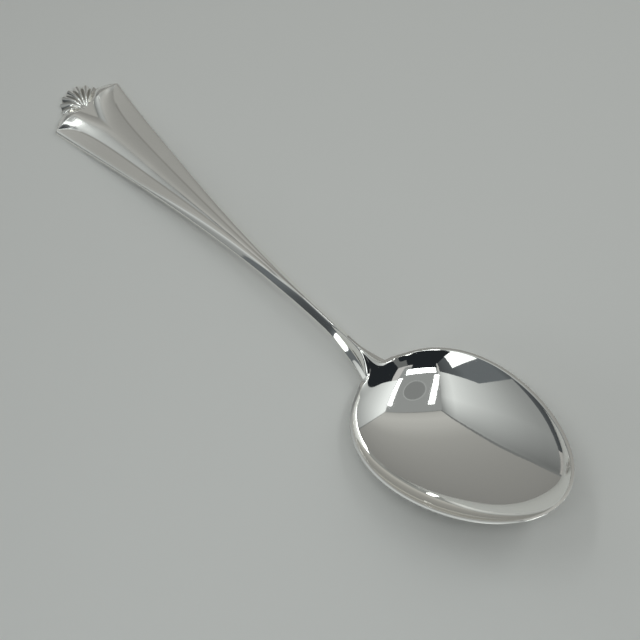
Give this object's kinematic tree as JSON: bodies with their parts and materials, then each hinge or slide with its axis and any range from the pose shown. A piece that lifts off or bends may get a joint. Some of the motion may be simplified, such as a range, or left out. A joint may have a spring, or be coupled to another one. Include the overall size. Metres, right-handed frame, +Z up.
{
  "type": "tablespoon",
  "caption": "Polished silver tablespoon with an egg-shaped bowl, a keeled stem and a flaring handle that ends in a scallop shell between two lobes.",
  "frame": {"origin": "middle of the spoon's outline, on the table it lies on", "axes": "+X along the spoon from the shell to the bowl's tip, +Y across it, +Z up out of the bowl"},
  "size_m": [0.205, 0.0496, 0.0295],
  "materials": {
    "silver": "mirror polished"
  },
  "bodies": {
    "root": {"bowl": "silver", "neck": "silver", "stem": "silver", "handle": "silver", "left_lobe": "silver", "right_lobe": "silver", "shell": "silver"}
  },
  "joints": []
}
